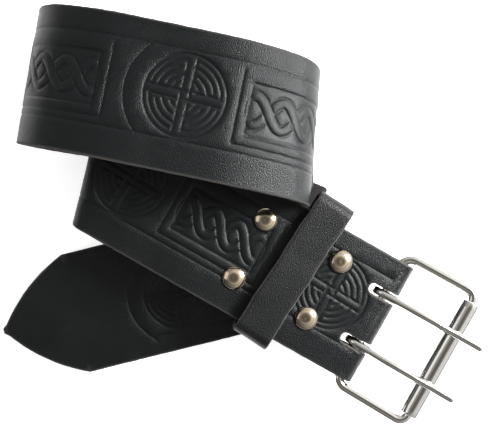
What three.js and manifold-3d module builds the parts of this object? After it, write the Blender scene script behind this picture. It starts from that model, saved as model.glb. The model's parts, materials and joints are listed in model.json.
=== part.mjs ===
// A wide leather kilt belt, folded up loosely as it lies on a table: strap, keeper loop,
// four rivets and a double-prong roller buckle. Millimetres, +Z up. The buckle end of the
// strap runs along X, with the buckle at its +X end; the part's origin is at the bottom
// centre of its bounding box.
import * as THREE from 'three';
import { mergeVertices } from 'three/addons/utils/BufferGeometryUtils.js';
import Module from 'manifold-3d';

const wasm = await Module();
wasm.setup();

// Strap
const strapWidth = 57;
const strapThickness = 3;
const layerGap = 0.3;
const runLength = 669;
const coilHeight = 54;
const tipLength = 35;
const tipBulge = 3.2;
const tipBlunt = 1.2;
const edgeGiveWay = 6;

// Turned-back end that holds the buckle
const flapRun = 60;
const flapAngle = 25;
const flapEaseRadius = 12;
const eyeClearance = 0.8;

// Buckle
const barRadius = 2.1;
const frameSideRoom = 3.5;
const frameDepth = 33.6;
const frameTilt = 10;
const nearCornerRadius = 5;
const farCornerRadius = 4;
const rollerRadius = 4.3;
const rollerBoreClearance = 0.4;
const rollerEndGap = 0.3;
const rollerChamfer = 0.5;

// Prongs
const prongRadius = 1.65;
const prongSpacing = 24.6;
const prongLength = 46;
const prongArch = 1.6;
const prongEyeClearance = 0.35;
const prongSeatGap = 0.3;
const prongEyeStart = -35;
const slotWidth = 6.2;
const slotReach = 8.6;
const bandGap = 0.1;

// Keeper loop
const keeperWidth = 16.4;
const keeperThickness = 2.2;
const keeperSlack = 13.6;
const keeperHeadroom = 4.6;
const keeperDistance = 41;
const keeperOffset = 2.2;
const keeperSkew = -3.6;
const keeperCorner = 5;

// Rivets
const rivetRadius = 5.1;
const rivetDome = 2.2;
const rivetShank = 2;
const rivetBackRadius = 4.2;
const rivetBackHeight = 0.9;
const rivetFit = 0.3;
const rivetSpacing = 28.4;
const rivetOffset = 1;
const rivetRows = [
  { name: 'near_buckle', distance: 25 },
  { name: 'far_from_buckle', distance: 61.5 },
];

// Punched pairs of prong holes
const holePairs = 5;
const holePitch = 20;
const firstHole = 178;
const holeRadius = 2.5;

// The passes of the folded strap from the buckle to the tip. heading is the way the pass runs
// in plan, height is the share of coilHeight at which it lies, and run is its share of runLength.
const passes = [
  { name: 'buckle', heading: 180, height: 0.4537, run: 0.2029 },
  { name: 'under', heading: 32.1, height: 0.2407, run: 0.1069 },
  { name: 'top', heading: 197.75, height: 1, run: 0.0542 },
  { name: 'floor', heading: 21.9, height: 0, run: 0.1371 },
  { name: 'hidden_back', heading: 219.5, height: 0.1722, run: 0.1263 },
  { name: 'hidden_forth', heading: 5.5, height: 0.087, run: 0.1476 },
  { name: 'tip', heading: 223.4, height: 0, run: 0.2243 },
];

// The folds between those passes. The two big loops ease into the top pass with a wide bend
// of easeAngle, whose radius is a share of coilHeight. giveWay is the share of edgeGiveWay by
// which one edge draws in, where the strap turns up close beside the buckle end.
const folds = [
  { name: 'buckle_under', easeAngle: 0, easeRadius: 0, easeFirst: false, giveWay: 0 },
  { name: 'under_top', easeAngle: 22, easeRadius: 1.48, easeFirst: false, giveWay: 1 },
  { name: 'top_floor', easeAngle: 20, easeRadius: 1.48, easeFirst: true, giveWay: 0 },
  { name: 'floor_back', easeAngle: 0, easeRadius: 0, easeFirst: false, giveWay: 0 },
  { name: 'back_forth', easeAngle: 0, easeRadius: 0, easeFirst: false, giveWay: 0 },
  { name: 'forth_tip', easeAngle: 0, easeRadius: 0, easeFirst: false, giveWay: 0 },
];

const rad = THREE.MathUtils.degToRad;
const halfWidth = strapWidth / 2;
const halfThickness = strapThickness / 2;
const layerPitch = strapThickness + layerGap;
const eyeRadius = barRadius + eyeClearance + halfThickness;
const passHeight = (pass) => halfThickness + pass.height * coilHeight;
const buckleHeight = passHeight(passes[0]);
const barHeight = buckleHeight - eyeRadius;
const frameHalfWidth = halfWidth + frameSideRoom;
const keeperLength = strapWidth + keeperSlack;
const strapTop = buckleHeight + halfThickness;
const flapBottom = buckleHeight - layerPitch - halfThickness;
const UP = new THREE.Vector3(0, 0, 1);

const leather = new THREE.MeshStandardMaterial({ color: 0x1b1b1f, roughness: 0.55, metalness: 0 });
const nickel = new THREE.MeshStandardMaterial({ color: 0xc9c6c0, roughness: 0.2, metalness: 1 });

// Wraps an angle in degrees to lie between -limit and limit, half turns apart.
function foldAngle(angle, limit) {
  let wrapped = ((angle % (2 * limit)) + 2 * limit) % (2 * limit);
  if (wrapped > limit) wrapped -= 2 * limit;
  return wrapped;
}

// Bends in order along the strap: at is the distance of the bend's start along the middle
// line, lean the angle of its crease, turn is positive when the outer face is outside.
function bendTable() {
  const bends = [];
  const rise = rad(flapAngle);
  const slope = (eyeRadius * (1 + Math.cos(rise)) - flapEaseRadius * (1 - Math.cos(rise)) - layerPitch)
    / Math.sin(rise);
  let at = flapRun;
  const add = (radius, turn, lean, giveWay = 0) => {
    bends.push({ at, radius, turn, lean, giveWay });
    at += (radius * rad(Math.abs(turn))) / Math.cos(rad(lean));
  };
  add(flapEaseRadius, -flapAngle, 0);
  at += slope;
  add(eyeRadius, 180 + flapAngle, 0);
  const buckleStart = at;
  passes.slice(0, -1).forEach((pass, i) => {
    const next = passes[i + 1];
    const { easeAngle, easeRadius, easeFirst, giveWay } = folds[i];
    at += pass.run * runLength;
    const faceUp = i % 2 === 0;
    const rises = next.height > pass.height;
    const lean = foldAngle((pass.heading - next.heading) / 2 - 90, 90) * (faceUp ? 1 : -1);
    const side = rises === faceUp ? -1 : 1;
    const ease = rad(easeAngle);
    const wide = easeRadius * coilHeight;
    const height = Math.abs(passHeight(next) - passHeight(pass));
    const tight = (height - wide * (1 - Math.cos(ease))) / (1 + Math.cos(ease));
    if (easeFirst) add(wide, side * easeAngle, lean);
    add(tight, side * (180 - easeAngle), lean, giveWay);
    if (easeAngle > 0 && !easeFirst) add(wide, side * easeAngle, lean);
  });
  const length = at + passes[passes.length - 1].run * runLength;
  return { bends, buckleStart, length };
}

const { bends, buckleStart, length: strapLength } = bendTable();

// The flat frame of each stretch between bends, and each bend's crease in space. The strap's
// flat coordinates are s along it, v across it and h above its middle surface.
function unrollFrames() {
  const frame = new THREE.Matrix4();
  const frames = [frame.clone()];
  bends.forEach((bend) => {
    const lean = rad(bend.lean);
    bend.across = new THREE.Vector2(Math.cos(lean), -Math.sin(lean));
    bend.along = new THREE.Vector2(Math.sin(lean), Math.cos(lean));
    bend.arc = bend.radius * rad(Math.abs(bend.turn));
    const side = Math.sign(bend.turn);
    const pivot = new THREE.Vector3(bend.at, 0, -side * bend.radius);
    const axis = new THREE.Vector3(bend.along.x, bend.along.y, 0);
    bend.rotation = (share) => new THREE.Matrix4()
      .makeTranslation(pivot.x, pivot.y, pivot.z)
      .multiply(new THREE.Matrix4().makeRotationAxis(axis, share * rad(bend.turn)))
      .multiply(new THREE.Matrix4().makeTranslation(-pivot.x, -pivot.y, -pivot.z));
    bend.before = frame.clone();
    const slide = new THREE.Matrix4()
      .makeTranslation(-bend.arc * bend.across.x, -bend.arc * bend.across.y, 0);
    frame.multiply(bend.rotation(1)).multiply(slide);
    frames.push(frame.clone());
  });
  return frames;
}

const frames = unrollFrames();

// The buckle pass starts over the bar and runs towards -X with its face up.
const placement = new THREE.Matrix4()
  .makeTranslation(0, 0, buckleHeight)
  .multiply(new THREE.Matrix4().makeRotationZ(rad(passes[0].heading)))
  .multiply(new THREE.Matrix4().makeTranslation(-buckleStart, 0, 0))
  .multiply(frames[2].clone().invert());

// A point of the strap in space from its flat coordinates.
function strapPoint(s, v, h) {
  const reach = (bend) => (s - bend.at) * bend.across.x + v * bend.across.y;
  let index = 0;
  while (index < bends.length && reach(bends[index]) > 0) index += 1;
  const point = new THREE.Vector3(s, v, h);
  if (index === 0) return point.applyMatrix4(frames[0]).applyMatrix4(placement);
  const bend = bends[index - 1];
  const distance = reach(bend);
  if (distance >= bend.arc) return point.applyMatrix4(frames[index]).applyMatrix4(placement);
  point.x -= distance * bend.across.x;
  point.y -= distance * bend.across.y;
  return point
    .applyMatrix4(bend.rotation(distance / bend.arc))
    .applyMatrix4(bend.before)
    .applyMatrix4(placement);
}

// Half the strap's width at a distance from its tip, along one arc from point to shoulder.
function tipHalfWidth(distance) {
  if (distance >= tipLength) return halfWidth;
  const chord = Math.hypot(tipLength, halfWidth);
  const radius = (chord * chord / 4 + tipBulge * tipBulge) / (2 * tipBulge);
  const reach = radius - tipBulge;
  const centreX = tipLength / 2 + (halfWidth / chord) * reach;
  const centreY = halfWidth / 2 - (tipLength / chord) * reach;
  const offset = distance - centreX;
  return Math.max(tipBlunt, centreY + Math.sqrt(radius * radius - offset * offset));
}

// How far the edge has drawn in at a share of a bend: a soft swell in its first half.
function giveWayShape(share) {
  return share < 0.06 || share > 0.66 ? 0 : Math.sin((Math.PI * (share - 0.06)) / 0.6) ** 2;
}

// Straight lines across the strap that follow the creases, each with its two flat ends.
function crossLines() {
  const lines = [];
  const addLine = (s, lean, reach, drawnIn = 0) => {
    const skew = Math.tan(rad(lean));
    lines.push([-reach, reach - drawnIn].map((v) => ({ s: s + v * skew, v })));
  };
  addLine(0, 0, halfWidth);
  bends.forEach((bend) => {
    const steps = Math.max(5, Math.ceil(Math.abs(bend.turn) / (bend.radius > eyeRadius * 2 ? 7.5 : 12)));
    for (let i = 0; i <= steps; i += 1) {
      const share = i / steps;
      const drawnIn = bend.giveWay * edgeGiveWay * giveWayShape(share);
      addLine(bend.at + (bend.arc * share) / Math.cos(rad(bend.lean)), bend.lean, halfWidth, drawnIn);
    }
  });
  const tipSteps = 12;
  for (let i = tipSteps; i >= 0; i -= 1) {
    const distance = (tipLength * i) / tipSteps;
    addLine(strapLength - distance, 0, tipHalfWidth(distance));
  }
  return lines;
}

// A closed mesh from rings of equally many points, with a fan over each end, or joined end to
// start when closed is true.
function skin(rings, closed) {
  const count = rings[0].length;
  const positions = rings.flat().flatMap((p) => [p.x, p.y, p.z]);
  const index = [];
  const spans = closed ? rings.length : rings.length - 1;
  for (let i = 0; i < spans; i += 1) {
    const next = (i + 1) % rings.length;
    for (let j = 0; j < count; j += 1) {
      const k = (j + 1) % count;
      const [a, b, c, d] = [i * count + j, i * count + k, next * count + k, next * count + j];
      index.push(a, b, c, a, c, d);
    }
  }
  if (!closed) {
    const last = (rings.length - 1) * count;
    for (let j = 1; j < count - 1; j += 1) {
      index.push(0, j + 1, j);
      index.push(last, last + j, last + j + 1);
    }
  }
  const geometry = new THREE.BufferGeometry();
  geometry.setAttribute('position', new THREE.Float32BufferAttribute(positions, 3));
  geometry.setIndex(index);
  return outward(geometry);
}

// Turns every face round when the mesh is inside out.
function outward(geometry) {
  const p = geometry.getAttribute('position');
  const index = Array.from(geometry.getIndex().array);
  const at = (i) => new THREE.Vector3().fromBufferAttribute(p, index[i]);
  let volume = 0;
  for (let i = 0; i < index.length; i += 3) {
    volume += at(i).dot(at(i + 1).cross(at(i + 2)));
  }
  if (volume < 0) {
    for (let i = 0; i < index.length; i += 3) {
      [index[i + 1], index[i + 2]] = [index[i + 2], index[i + 1]];
    }
  }
  geometry.setIndex(index);
  return geometry;
}

// Positions alone, with shared vertices merged.
function bare(geometry) {
  const copy = geometry.clone();
  copy.deleteAttribute('normal');
  copy.deleteAttribute('uv');
  return mergeVertices(copy, 1e-4);
}

function toSolid(geometry) {
  const clean = bare(geometry);
  return new wasm.Manifold(new wasm.Mesh({
    numProp: 3,
    vertProperties: new Float32Array(clean.getAttribute('position').array),
    triVerts: new Uint32Array(clean.getIndex().array),
  }));
}

function fromSolid(solid) {
  const mesh = solid.getMesh();
  const geometry = new THREE.BufferGeometry();
  geometry.setAttribute('position', new THREE.BufferAttribute(mesh.vertProperties, 3));
  geometry.setIndex(new THREE.BufferAttribute(mesh.triVerts, 1));
  return geometry;
}

const group = new THREE.Group();

function addMesh(name, geometry, material) {
  const mesh = new THREE.Mesh(bare(geometry), material);
  mesh.name = name;
  group.add(mesh);
  return mesh;
}

// An upright round cutter.
function drill(radius, low, high, x, y) {
  const geometry = new THREE.CylinderGeometry(radius, radius, high - low, 20);
  geometry.rotateX(Math.PI / 2);
  geometry.translate(x, y, (low + high) / 2);
  return toSolid(geometry);
}

// The long hole that a prong swings in, through both layers and round the turned end.
function slotCutter(y) {
  const outline = new THREE.Shape();
  const half = slotWidth / 2;
  const front = eyeRadius + strapThickness;
  outline.moveTo(front, -half);
  outline.lineTo(front, half);
  outline.lineTo(half - slotReach, half);
  outline.absarc(half - slotReach, 0, half, Math.PI / 2, (3 * Math.PI) / 2, false);
  outline.closePath();
  const depth = strapTop - flapBottom + 4 * eyeRadius;
  const geometry = new THREE.ExtrudeGeometry(outline, { depth, bevelEnabled: false, curveSegments: 10 });
  geometry.translate(0, y, barHeight - depth / 2);
  return geometry;
}

const prongPlaces = [prongSpacing / 2, -prongSpacing / 2];
const rivetPlaces = rivetRows.flatMap((row) => [1, -1].map((side) => ({
  x: -row.distance,
  y: rivetOffset + (side * rivetSpacing) / 2,
})));

// The strap: skinned over its cross lines, then slotted, punched and drilled. The two slots cut
// its end into three bands round the bar. They and the flap under the strip are solids of their
// own, a hair apart.
function makeStrap() {
  const rings = crossLines().map(([left, right]) => [
    strapPoint(left.s, left.v, halfThickness),
    strapPoint(right.s, right.v, halfThickness),
    strapPoint(right.s, right.v, -halfThickness),
    strapPoint(left.s, left.v, -halfThickness),
  ]);
  let strap = toSolid(skin(rings, false));
  prongPlaces.forEach((y) => {
    strap = strap.subtract(toSolid(slotCutter(y)));
  });
  const pierced = halfThickness / 2;
  rivetPlaces.forEach(({ x, y }) => {
    const hole = drill(rivetShank + rivetFit, flapBottom - pierced, strapTop + pierced, x, y);
    strap = strap.subtract(hole);
  });
  for (let pair = 0; pair < holePairs; pair += 1) {
    const s = strapLength - firstHole - pair * holePitch;
    [-prongSpacing / 2, prongSpacing / 2].forEach((v) => {
      const place = strapPoint(s, v, 0);
      const reach = halfThickness + layerGap;
      strap = strap.subtract(drill(holeRadius, place.z - reach, place.z + reach, place.x, place.y));
    });
  }
  const wrap = eyeRadius + strapThickness;
  const straightSlot = slotReach - slotWidth / 2;
  const roundBar = (reach) => wasm.Manifold.cube([wrap + reach, 2 * strapWidth, 2 * wrap])
    .translate([-reach, -strapWidth, barHeight - wrap]);
  const bands = strap.intersect(roundBar(straightSlot)).decompose()
    .sort((a, b) => b.boundingBox().max[1] - a.boundingBox().max[1]);
  const layers = strap.subtract(roundBar(straightSlot + bandGap)).decompose()
    .sort((a, b) => b.volume() - a.volume());
  return [...layers, ...bands].map(fromSolid);
}

// A rounded rectangle's outline as a three.js path.
function roundedRectangle(target, left, bottom, right, top, radius) {
  target.moveTo(left + radius, bottom);
  target.lineTo(right - radius, bottom);
  target.absarc(right - radius, bottom + radius, radius, -Math.PI / 2, 0, false);
  target.lineTo(right, top - radius);
  target.absarc(right - radius, top - radius, radius, 0, Math.PI / 2, false);
  target.lineTo(left + radius, top);
  target.absarc(left + radius, top - radius, radius, Math.PI / 2, Math.PI, false);
  target.lineTo(left, bottom + radius);
  target.absarc(left + radius, bottom + radius, radius, Math.PI, (3 * Math.PI) / 2, false);
  return target;
}

// The keeper: a flat band closed round both layers, loose enough for the tip to pass over.
function makeKeeper() {
  const bottom = flapBottom - layerGap - keeperThickness;
  const top = strapTop + keeperHeadroom + keeperThickness;
  const half = keeperLength / 2;
  const wall = keeperThickness;
  const shape = roundedRectangle(new THREE.Shape(), -half, bottom, half, top, keeperCorner);
  shape.holes.push(roundedRectangle(
    new THREE.Path(), wall - half, bottom + wall, half - wall, top - wall, keeperCorner - wall,
  ));
  const geometry = new THREE.ExtrudeGeometry(shape, {
    depth: keeperWidth, bevelEnabled: false, curveSegments: 6,
  });
  geometry.translate(0, 0, -keeperWidth / 2);
  geometry.rotateX(Math.PI / 2);
  geometry.rotateZ(Math.PI / 2 + rad(keeperSkew));
  geometry.translate(-keeperDistance, keeperOffset, 0);
  return geometry;
}

// A rivet: domed cap, shank through both layers and a low back cap.
function makeRivet() {
  const capLow = strapTop + layerGap;
  const backTop = flapBottom - layerGap;
  const points = [
    [0, backTop - rivetBackHeight],
    [rivetBackRadius * 0.85, backTop - rivetBackHeight],
    [rivetBackRadius, backTop - rivetBackHeight / 2],
    [rivetBackRadius, backTop],
    [rivetShank, backTop],
    [rivetShank, capLow],
    [rivetRadius, capLow],
  ];
  const rimHeight = rivetDome * 0.25;
  const domeSteps = 6;
  for (let i = 0; i <= domeSteps; i += 1) {
    const angle = (Math.PI / 2) * (i / domeSteps);
    const radius = i === domeSteps ? 0 : rivetRadius * Math.cos(angle);
    points.push([radius, capLow + rimHeight + (rivetDome - rimHeight) * Math.sin(angle)]);
  }
  const profile = points.map(([r, z]) => new THREE.Vector2(r, z));
  const geometry = new THREE.LatheGeometry(profile, 24);
  geometry.rotateX(Math.PI / 2);
  return outward(bare(geometry));
}

// Circles of a wire round each point of a path that lies in the plane across the given side
// direction.
function wireRings(path, sideDirection, radius, sides, closed) {
  return path.map((point, i) => {
    const last = path.length - 1;
    const before = path[i > 0 ? i - 1 : (closed ? last : 0)];
    const after = path[i < last ? i + 1 : (closed ? 0 : last)];
    const forward = after.clone().sub(before).normalize();
    const lift = forward.clone().cross(sideDirection).normalize();
    return Array.from({ length: sides }, (_, j) => {
      const angle = (2 * Math.PI * (j + 0.5)) / sides;
      return point.clone()
        .addScaledVector(lift, radius * Math.cos(angle))
        .addScaledVector(sideDirection, radius * Math.sin(angle));
    });
  });
}

// The buckle's frame: one loop of wire, bent round at its four corners, in its own plane with
// the near bar on Y and the far bar at x = frameDepth.
function makeFrame() {
  const corners = [
    { x: nearCornerRadius, y: -1, radius: nearCornerRadius, start: 180 },
    { x: frameDepth - farCornerRadius, y: -1, radius: farCornerRadius, start: 270 },
    { x: frameDepth - farCornerRadius, y: 1, radius: farCornerRadius, start: 0 },
    { x: nearCornerRadius, y: 1, radius: nearCornerRadius, start: 90 },
  ];
  const steps = 7;
  const path = corners.flatMap((corner) => Array.from({ length: steps + 1 }, (_, i) => {
    const angle = rad(corner.start + (90 * i) / steps);
    const centreY = corner.y * (frameHalfWidth - corner.radius);
    return new THREE.Vector3(
      corner.x + corner.radius * Math.cos(angle), centreY + corner.radius * Math.sin(angle), 0,
    );
  }));
  return skin(wireRings(path, UP, barRadius, 14, true), true);
}

// The roller: a tube that turns on the far bar.
function makeRoller() {
  const bore = barRadius + rollerBoreClearance;
  const half = frameHalfWidth - farCornerRadius - rollerEndGap;
  const profile = [
    [bore, -half],
    [rollerRadius - rollerChamfer, -half],
    [rollerRadius, rollerChamfer - half],
    [rollerRadius, half - rollerChamfer],
    [rollerRadius - rollerChamfer, half],
    [bore, half],
    [bore, -half],
  ].map(([r, z]) => new THREE.Vector2(r, z));
  return outward(bare(new THREE.LatheGeometry(profile, 28)));
}

// A prong in the buckle frame's plane: an eye bent round the near bar, then a shank that
// arches over the turned end, rests on the roller and runs past it.
function makeProng(y) {
  const eye = barRadius + prongEyeClearance + prongRadius;
  const seat = rollerRadius + prongRadius + prongSeatGap;
  const eyeSteps = 18;
  const sweep = 270 + prongEyeStart;
  const path = Array.from({ length: eyeSteps + 1 }, (_, i) => {
    const angle = rad(prongEyeStart - (sweep * i) / eyeSteps);
    return new THREE.Vector3(eye * Math.cos(angle), y, eye * Math.sin(angle));
  });
  const shank = new THREE.CatmullRomCurve3([
    new THREE.Vector3(0, y, eye),
    new THREE.Vector3(frameDepth * 0.2, y, eye + prongArch * 0.85),
    new THREE.Vector3(frameDepth * 0.45, y, (eye + seat) / 2 + prongArch),
    new THREE.Vector3(frameDepth * 0.75, y, seat + prongArch * 0.25),
    new THREE.Vector3(frameDepth, y, seat),
    new THREE.Vector3(prongLength, y, seat),
  ], false, 'catmullrom', 0.5);
  path.push(...shank.getPoints(22).slice(1));
  const rings = wireRings(path, new THREE.Vector3(0, 1, 0), prongRadius, 12, false);
  const tip = path[path.length - 1];
  rings[rings.length - 1].forEach((point) => point.lerp(tip, 0.45));
  return skin(rings, false);
}

const strapNames = ['strap', 'strap_flap', 'strap_band_1', 'strap_band_2', 'strap_band_3'];
makeStrap().forEach((geometry, i) => {
  addMesh(strapNames[i], geometry, leather);
});
addMesh('keeper', makeKeeper(), leather);
rivetPlaces.forEach(({ x, y }, i) => {
  addMesh(`rivet_${i + 1}`, makeRivet(), nickel).position.set(x, y, 0);
});

const buckle = new THREE.Group();
buckle.position.set(0, 0, barHeight);
buckle.rotation.y = -rad(frameTilt);
group.add(buckle);
buckle.add(addMesh('buckle_frame', makeFrame(), nickel));
const roller = addMesh('roller', makeRoller(), nickel);
roller.position.set(frameDepth, 0, 0);
buckle.add(roller);
prongPlaces.forEach((y, i) => {
  buckle.add(addMesh(`prong_${i + 1}`, makeProng(y), nickel));
});

// Stands the whole part on its origin.
group.updateMatrixWorld(true);
const box = new THREE.Box3().setFromObject(group, true);
group.position.set(-(box.min.x + box.max.x) / 2, -(box.min.y + box.max.y) / 2, -box.min.z);

export default group;
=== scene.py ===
# %% [markdown]
# # A kilt belt, folded up loosely
# The belt is one wide strip of black leather with a pressed Celtic pattern, a double-prong roller
# buckle held by four rivets, and a loose keeper loop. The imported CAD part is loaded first. It gives
# the size, the bodies that move and the hinges, so every piece made here goes where the part says.

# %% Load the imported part
import json
import math

import bpy
import numpy as np
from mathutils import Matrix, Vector, kdtree
from mathutils.geometry import delaunay_2d_cdt


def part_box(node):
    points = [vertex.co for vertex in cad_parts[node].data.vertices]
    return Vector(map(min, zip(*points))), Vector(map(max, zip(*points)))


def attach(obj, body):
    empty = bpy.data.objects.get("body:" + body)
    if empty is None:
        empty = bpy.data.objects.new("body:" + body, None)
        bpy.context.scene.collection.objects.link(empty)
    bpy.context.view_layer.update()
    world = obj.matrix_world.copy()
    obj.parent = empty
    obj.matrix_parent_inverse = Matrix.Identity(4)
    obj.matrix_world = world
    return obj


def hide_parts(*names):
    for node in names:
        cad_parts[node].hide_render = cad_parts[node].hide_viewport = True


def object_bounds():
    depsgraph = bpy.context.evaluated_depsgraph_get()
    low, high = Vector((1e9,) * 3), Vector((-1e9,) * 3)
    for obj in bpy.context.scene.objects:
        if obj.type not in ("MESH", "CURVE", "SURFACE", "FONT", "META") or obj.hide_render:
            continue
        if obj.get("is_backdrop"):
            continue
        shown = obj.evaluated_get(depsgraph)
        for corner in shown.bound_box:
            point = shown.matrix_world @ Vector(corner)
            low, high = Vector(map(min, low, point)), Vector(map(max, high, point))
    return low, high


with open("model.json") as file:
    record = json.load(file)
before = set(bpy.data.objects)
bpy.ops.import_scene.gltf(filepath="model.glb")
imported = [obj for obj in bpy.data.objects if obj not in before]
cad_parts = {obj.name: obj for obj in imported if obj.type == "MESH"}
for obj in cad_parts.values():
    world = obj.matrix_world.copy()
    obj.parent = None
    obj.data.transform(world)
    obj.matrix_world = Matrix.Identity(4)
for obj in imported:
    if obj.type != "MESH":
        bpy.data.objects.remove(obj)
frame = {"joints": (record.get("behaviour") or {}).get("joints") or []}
cad_low, cad_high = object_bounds()
print("CAD box", [round(x, 4) for x in cad_low], [round(x, 4) for x in cad_high])
hinges = {joint["name"]: joint for joint in frame["joints"]}
bar_centre = np.array(hinges["frame_swing"]["pos_m"]) * 1000
print("the buckle's bar is at", bar_centre.round(2), "mm")

# %% [markdown]
# ## Camera
# The belt was photographed from straight above, about 300 mm over the surface. The buckle end lies
# aslant in the picture, so the camera looks straight down and is turned about its own axis.

# %% Camera above the belt
MM = 0.001
camera_place = (5.51, 12.25, 300.0)
camera_turn = 29.5
focal_pixels = 631
photo_width_pixels = 500
sensor_width = 36
near_clip = 0.01

camera_data = bpy.data.cameras.new("camera")
camera_data.sensor_width = sensor_width
camera_data.lens = focal_pixels / photo_width_pixels * sensor_width
camera_data.clip_start = near_clip
camera = bpy.data.objects.new("camera", camera_data)
camera.location = Vector(camera_place) * MM
camera.rotation_euler = (0, 0, math.radians(camera_turn))
bpy.context.scene.collection.objects.link(camera)
bpy.context.scene.camera = camera

# %% [markdown]
# ## The strap as a flat strip
# A real belt is cut flat, pressed flat, and only then folded. The same order works here: the strip
# is described by s along it and v across it, and one rule folds any flat point into space. The
# rule is a table of passes and folds, each fold a roll round a straight crease, so the leather
# bends but never stretches, and the pattern keeps its shape right round every turn.

# %% Sizes of the strap and its folds, in millimetres
strap_width = 57
strap_thickness = 3
layer_gap = 0.3
run_length = 669
coil_height = 54
tip_length = 35
tip_bulge = 3.2
tip_blunt = 1.2
flap_run = 60
flap_angle = 25
flap_ease_radius = 12
eye_radius = 4.4

passes = [
    {"heading": 180, "height": 0.4537, "run": 0.2029},
    {"heading": 32.1, "height": 0.2407, "run": 0.1069},
    {"heading": 197.75, "height": 1, "run": 0.0542},
    {"heading": 21.9, "height": 0, "run": 0.1371},
    {"heading": 219.5, "height": 0.1722, "run": 0.1263},
    {"heading": 5.5, "height": 0.087, "run": 0.1476},
    {"heading": 223.4, "height": 0, "run": 0.2243},
]
folds = [
    {"ease": 0, "radius": 0, "first": False},
    {"ease": 22, "radius": 1.48, "first": False},
    {"ease": 20, "radius": 1.48, "first": True},
    {"ease": 0, "radius": 0, "first": False},
    {"ease": 0, "radius": 0, "first": False},
    {"ease": 0, "radius": 0, "first": False},
]
half_width = strap_width / 2
half_thickness = strap_thickness / 2


def pass_height(one_pass):
    return half_thickness + one_pass["height"] * coil_height


def fold_angle(angle, limit):
    wrapped = angle % (2 * limit)
    return wrapped - 2 * limit if wrapped > limit else wrapped


def bend_table():
    """Every roll in order along the strap, where the buckle pass starts, and the whole length."""
    rows = []
    rise = math.radians(flap_angle)
    pitch = strap_thickness + layer_gap
    lift = eye_radius * (1 + math.cos(rise)) - flap_ease_radius * (1 - math.cos(rise)) - pitch
    place = {"at": flap_run}

    def add(radius, turn, lean):
        rows.append({"at": place["at"], "radius": radius, "turn": turn, "lean": lean})
        place["at"] += radius * math.radians(abs(turn)) / math.cos(math.radians(lean))

    add(flap_ease_radius, -flap_angle, 0)
    place["at"] += lift / math.sin(rise)
    add(eye_radius, 180 + flap_angle, 0)
    start = place["at"]
    for i, (here, there) in enumerate(zip(passes, passes[1:])):
        place["at"] += here["run"] * run_length
        face_up = i % 2 == 0
        rises = there["height"] > here["height"]
        lean = fold_angle((here["heading"] - there["heading"]) / 2 - 90, 90) * (1 if face_up else -1)
        side = -1 if rises == face_up else 1
        ease = math.radians(folds[i]["ease"])
        wide = folds[i]["radius"] * coil_height
        height = abs(pass_height(there) - pass_height(here))
        tight = (height - wide * (1 - math.cos(ease))) / (1 + math.cos(ease))
        if folds[i]["first"]:
            add(wide, side * folds[i]["ease"], lean)
        add(tight, side * (180 - folds[i]["ease"]), lean)
        if folds[i]["ease"] > 0 and not folds[i]["first"]:
            add(wide, side * folds[i]["ease"], lean)
    return rows, start, place["at"] + passes[-1]["run"] * run_length


bends, buckle_start, strap_length = bend_table()
print("strap length", round(strap_length, 1), "mm, buckle pass starts at", round(buckle_start, 1))

# %% [markdown]
# Folding is done for whole arrays of points at once. Each point belongs to the last roll whose
# crease it has passed. Beyond the roll it moves with a fixed matrix, and inside it the angle grows
# with the distance from the crease. One edge is drawn in first, in a hidden turn where it would
# run into the buckle end, because soft leather gives way there.

# %% Fold flat points into space


def turn_matrix(axis, angle):
    x, y, z = axis
    skew = np.array([[0, -z, y], [z, 0, -x], [-y, x, 0]])
    return np.eye(3) + math.sin(angle) * skew + (1 - math.cos(angle)) * skew @ skew


def rigid(rotation, shift):
    matrix = np.eye(4)
    matrix[:3, :3] = rotation
    matrix[:3, 3] = shift
    return matrix


stretch_frames = [np.eye(4)]
for bend in bends:
    lean = math.radians(bend["lean"])
    bend["across"] = np.array([math.cos(lean), -math.sin(lean)])
    bend["axis"] = np.array([math.sin(lean), math.cos(lean), 0.0])
    bend["angle"] = math.radians(bend["turn"])
    bend["arc"] = bend["radius"] * abs(bend["angle"])
    bend["pivot"] = np.array([bend["at"], 0, -math.copysign(bend["radius"], bend["turn"])])
    rotation = turn_matrix(bend["axis"], bend["angle"])
    bend["before"] = stretch_frames[-1]
    rolled = bend["before"] @ rigid(rotation, bend["pivot"] - rotation @ bend["pivot"])
    slide = -bend["arc"] * np.append(bend["across"], 0)
    stretch_frames.append(rolled @ rigid(np.eye(3), slide))

strap_top = bar_centre[2] + eye_radius + half_thickness
half_turn = turn_matrix((0, 0, 1), math.radians(passes[0]["heading"]))
placement = (
    rigid(half_turn, (bar_centre[0], bar_centre[1], bar_centre[2] + eye_radius))
    @ rigid(np.eye(3), (-buckle_start, 0, 0))
    @ np.linalg.inv(stretch_frames[2])
)


def apply(matrix, points):
    return points @ matrix[:3, :3].T + matrix[:3, 3]


def folded(flat):
    """Points in space, in millimetres, of flat rows of s, v and height above the middle."""
    flat = np.asarray(flat, float)
    reach = np.array([
        (flat[:, 0] - b["at"]) * b["across"][0] + flat[:, 1] * b["across"][1] for b in bends
    ])
    index = np.cumprod(reach > 0, axis=0).sum(axis=0)
    out = np.empty_like(flat)
    for k in range(len(bends) + 1):
        rows = np.nonzero(index == k)[0]
        if k == 0:
            out[rows] = apply(placement, flat[rows])
            continue
        b = bends[k - 1]
        distance = reach[k - 1, rows]
        past = distance >= b["arc"]
        out[rows[past]] = apply(placement @ stretch_frames[k], flat[rows[past]])
        inside = rows[~past]
        far = distance[~past][:, None]
        arm = flat[inside].copy()
        arm[:, :2] -= far * b["across"]
        arm -= b["pivot"]
        angle = far / b["arc"] * b["angle"]
        u = b["axis"]
        spun = arm * np.cos(angle) + np.cross(u, arm) * np.sin(angle)
        spun += u * (arm @ u)[:, None] * (1 - np.cos(angle))
        out[inside] = apply(placement @ b["before"], spun + b["pivot"])
    return out


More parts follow.
